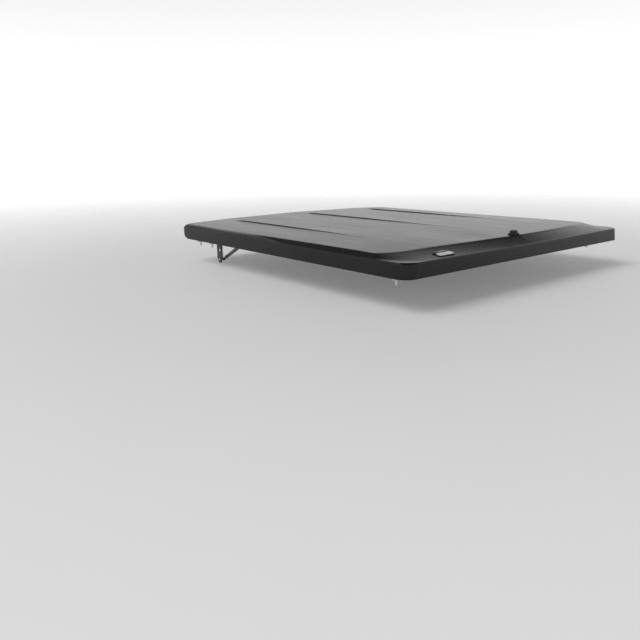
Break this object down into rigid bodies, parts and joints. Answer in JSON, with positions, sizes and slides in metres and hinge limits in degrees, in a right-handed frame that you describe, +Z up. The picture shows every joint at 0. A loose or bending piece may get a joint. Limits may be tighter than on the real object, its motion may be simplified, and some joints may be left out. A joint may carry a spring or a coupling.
{
  "type": "tonneau cover",
  "caption": "One-piece hinged hard cover for a short pickup bed: crowned deck, ledge and side skirts, gas struts, clamp-on hinges, turn-knob lock and side latch rods.",
  "frame": {"origin": "centre of the bed opening in plan, in the plane of the bed rails' tops; the side skirts hang 25 mm below it", "axes": "+Z up, +Y towards the cab (the hinged end), +X to the truck's passenger side"},
  "size_m": [1.754, 1.868, 0.257],
  "materials": {
    "abs_skin": "black moulded plastic with a fine even grain, satin sheen at grazing angles",
    "liner_plastic": "dark grey formed plastic, lightly textured",
    "bar_aluminium": "mill-finish extruded bar",
    "coated_steel": "black powder-coated steel plate",
    "zinc_steel": "bright zinc-plated steel",
    "cast_aluminium": "tumbled cast aluminium",
    "seal_rubber": "matt black sponge rubber",
    "lock_plastic": "satin black moulded nylon",
    "key_metal": "machined nickel-plated brass face",
    "nylon": "natural nylon",
    "strut_paint": "gloss black painted tube",
    "strut_chrome": "hard-chromed rod",
    "strut_plastic": "glass-filled black nylon",
    "light_plastic": "black lamp body",
    "light_lens": "frosted clear lens",
    "switch_red": "red rubber-like push button",
    "badge_metal": "bright metallised emblem plate",
    "badge_red": "dark red enamel inlay"
  },
  "bodies": {
    "bed_hardware": {"hinge_base_left": "coated_steel", "hinge_base_right": "coated_steel", "strut_base_left": "coated_steel", "strut_base_right": "coated_steel", "ball_studs_lower": "zinc_steel", "striker_left": "coated_steel", "striker_right": "coated_steel", "rail_clamps": "cast_aluminium", "clamp_bolts": "zinc_steel", "clamp_pads": "seal_rubber"},
    "lid": {"outer_shell": "abs_skin", "inner_liner": "liner_plastic", "edge_strips": "liner_plastic", "liner_ribs": "liner_plastic", "front_crossbar": "bar_aluminium", "rear_crossbar": "bar_aluminium", "hinge_arm_left": "coated_steel", "hinge_arm_right": "coated_steel", "strut_mount_left": "coated_steel", "strut_mount_right": "coated_steel", "ball_studs_upper": "zinc_steel", "lid_bolts": "zinc_steel", "liner_screws": "nylon", "bump_stops": "seal_rubber", "seal_left": "seal_rubber", "seal_right": "seal_rubber", "seal_rear": "seal_rubber", "seal_front": "seal_rubber", "lock_gasket": "seal_rubber", "lock_housing": "lock_plastic", "lock_nut": "zinc_steel", "rod_guides": "nylon", "light_housing": "light_plastic", "light_lens": "light_lens", "badge": "badge_metal", "badge_inlay": "badge_red"},
    "turn_knob": {"lock_knob": "lock_plastic", "lock_spindle": "zinc_steel", "lock_cam": "zinc_steel"},
    "key_plug": {"key_plug": "key_metal"},
    "lock_cap": {"lock_cap": "lock_plastic"},
    "latch_rod_left": {"latch_rod_left": "zinc_steel", "rod_tip_left": "nylon"},
    "hinge_pin_left": {"hinge_pin_left": "zinc_steel"},
    "strut_rod_left": {"strut_rod_left": "strut_chrome", "strut_piston_left": "zinc_steel", "strut_socket_lower_left": "strut_plastic"},
    "strut_tube_left": {"strut_tube_left": "strut_paint", "strut_gland_left": "strut_plastic", "strut_socket_upper_left": "strut_plastic"},
    "latch_rod_right": {"latch_rod_right": "zinc_steel", "rod_tip_right": "nylon"},
    "hinge_pin_right": {"hinge_pin_right": "zinc_steel"},
    "strut_rod_right": {"strut_rod_right": "strut_chrome", "strut_piston_right": "zinc_steel", "strut_socket_lower_right": "strut_plastic"},
    "strut_tube_right": {"strut_tube_right": "strut_paint", "strut_gland_right": "strut_plastic", "strut_socket_upper_right": "strut_plastic"},
    "light_switch": {"light_switch": "switch_red"}
  },
  "joints": [
    {"name": "lid_hinge", "type": "hinge", "parent": "bed_hardware", "child": "lid", "pos_m": [0, 0.912, 0.014], "axis": [-1, 0, 0], "range_deg": [0, 30]},
    {"name": "strut_pivot_left", "type": "hinge", "parent": "bed_hardware", "child": "strut_rod_left", "pos_m": [-0.745, 0.66, -0.14], "axis": [-1, 0, 0], "range_deg": [0, 35.59]},
    {"name": "strut_slide_left", "type": "slide", "parent": "strut_rod_left", "child": "strut_tube_left", "axis": [0, -0.8889, 0.4581], "range_m": [0, 0.14884]},
    {"name": "pin_pull_left", "type": "slide", "parent": "bed_hardware", "child": "hinge_pin_left", "axis": [1, 0, 0], "range_m": [0, 0.068]},
    {"name": "strut_pivot_right", "type": "hinge", "parent": "bed_hardware", "child": "strut_rod_right", "pos_m": [0.745, 0.66, -0.14], "axis": [-1, 0, 0], "range_deg": [0, 35.59]},
    {"name": "strut_slide_right", "type": "slide", "parent": "strut_rod_right", "child": "strut_tube_right", "axis": [0, -0.8889, 0.4581], "range_m": [0, 0.14884]},
    {"name": "pin_pull_right", "type": "slide", "parent": "bed_hardware", "child": "hinge_pin_right", "axis": [-1, 0, 0], "range_m": [0, 0.068]},
    {"name": "knob_turn", "type": "hinge", "parent": "lid", "child": "turn_knob", "pos_m": [-0.02, -0.84, 0.09], "axis": [0, 0, -1], "range_deg": [0, 90]},
    {"name": "latch_slide_left", "type": "slide", "parent": "lid", "child": "latch_rod_left", "axis": [-1, 0, 0], "range_m": [0, 0.01801]},
    {"name": "latch_slide_right", "type": "slide", "parent": "lid", "child": "latch_rod_right", "axis": [1, 0, 0], "range_m": [0, 0.01801]},
    {"name": "key_turn", "type": "hinge", "parent": "turn_knob", "child": "key_plug", "pos_m": [-0.02, -0.84, 0.09], "axis": [0, 0, -1], "range_deg": [0, 90]},
    {"name": "cap_swivel", "type": "hinge", "parent": "turn_knob", "child": "lock_cap", "pos_m": [-0.0055, -0.84, 0.09], "axis": [0, 0, 1], "range_deg": [0, 110]},
    {"name": "light_press", "type": "slide", "parent": "lid", "child": "light_switch", "axis": [0, 0, 1], "range_m": [0, 0.002], "stiffness_N_per_m": 400}
  ],
  "couplings": [
    {"joint": "strut_pivot_left", "follows": "lid_hinge", "ratio": 1.186},
    {"joint": "strut_slide_left", "follows": "lid_hinge", "m_per_rad": 0.28422},
    {"joint": "strut_pivot_right", "follows": "lid_hinge", "ratio": 1.186},
    {"joint": "strut_slide_right", "follows": "lid_hinge", "m_per_rad": 0.28422},
    {"joint": "latch_slide_left", "follows": "knob_turn", "m_per_rad": 0.011459},
    {"joint": "latch_slide_right", "follows": "knob_turn", "m_per_rad": 0.011459}
  ]
}
